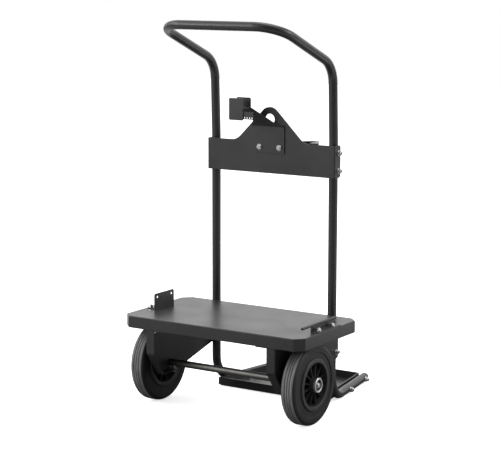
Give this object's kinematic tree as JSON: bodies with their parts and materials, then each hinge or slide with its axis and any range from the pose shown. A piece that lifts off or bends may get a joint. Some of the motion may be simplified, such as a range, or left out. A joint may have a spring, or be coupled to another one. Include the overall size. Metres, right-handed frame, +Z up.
{
  "type": "gas bottle trolley",
  "caption": "Upright trolley with a bent-tube handle, a folded platform over solid rubber wheels, and a low rear tray and cradle for a gas bottle.",
  "frame": {"origin": "on the floor, under the middle of the overall width and depth", "axes": "+X to the right seen from the platform side, +Y to the rear (tray) side, +Z up; the wheels are on the -Y side"},
  "size_m": [0.65, 0.6891, 1.2035],
  "materials": {
    "black_powder_coat": "satin",
    "zinc_plated_steel": "satin",
    "axle_steel": "satin",
    "black_plastic": "matte",
    "wheel_plastic": "matte",
    "solid_rubber": "matte"
  },
  "bodies": {
    "chassis": {"axle": "axle_steel", "axle_bolts": "zinc_plated_steel", "axle_end_bolts": "zinc_plated_steel", "axle_nuts": "zinc_plated_steel", "back_stop": "black_powder_coat", "back_stop_bolts": "zinc_plated_steel", "back_stop_nuts": "zinc_plated_steel", "bottle_cradle": "black_powder_coat", "bottle_tray": "black_powder_coat", "crossbar_bolts": "zinc_plated_steel", "crossbar_nuts": "zinc_plated_steel", "crossbar_panel": "black_powder_coat", "foot_caps": "black_plastic", "frame_tube": "black_powder_coat", "guide_rod": "black_powder_coat", "hook_bolts": "zinc_plated_steel", "hook_bracket": "black_powder_coat", "hook_comb": "black_powder_coat", "hook_nuts": "zinc_plated_steel", "lug_bolts": "zinc_plated_steel", "lug_nuts": "zinc_plated_steel", "platform": "black_powder_coat", "platform_bolts": "zinc_plated_steel", "platform_nuts": "zinc_plated_steel", "side_rail": "black_powder_coat", "side_rail_bolts": "zinc_plated_steel", "side_rail_nuts": "zinc_plated_steel", "spacer_washers": "zinc_plated_steel", "tray_bolts": "zinc_plated_steel", "tray_nuts": "zinc_plated_steel", "wheel_bracket_left": "black_powder_coat", "wheel_bracket_right": "black_powder_coat"},
    "wheel_left": {"tyre_left": "solid_rubber", "rim_left": "wheel_plastic", "bearing_ring_left": "zinc_plated_steel", "bearing_seal_left": "black_plastic"},
    "wheel_right": {"tyre_right": "solid_rubber", "rim_right": "wheel_plastic", "bearing_ring_right": "zinc_plated_steel", "bearing_seal_right": "black_plastic"}
  },
  "joints": [
    {"name": "wheel_left_spin", "type": "hinge", "parent": "chassis", "child": "wheel_left", "pos_m": [-0.275, -0.2165, 0.125], "axis": [1, 0, 0], "continuous": true},
    {"name": "wheel_right_spin", "type": "hinge", "parent": "chassis", "child": "wheel_right", "pos_m": [0.275, -0.2165, 0.125], "axis": [1, 0, 0], "continuous": true}
  ]
}
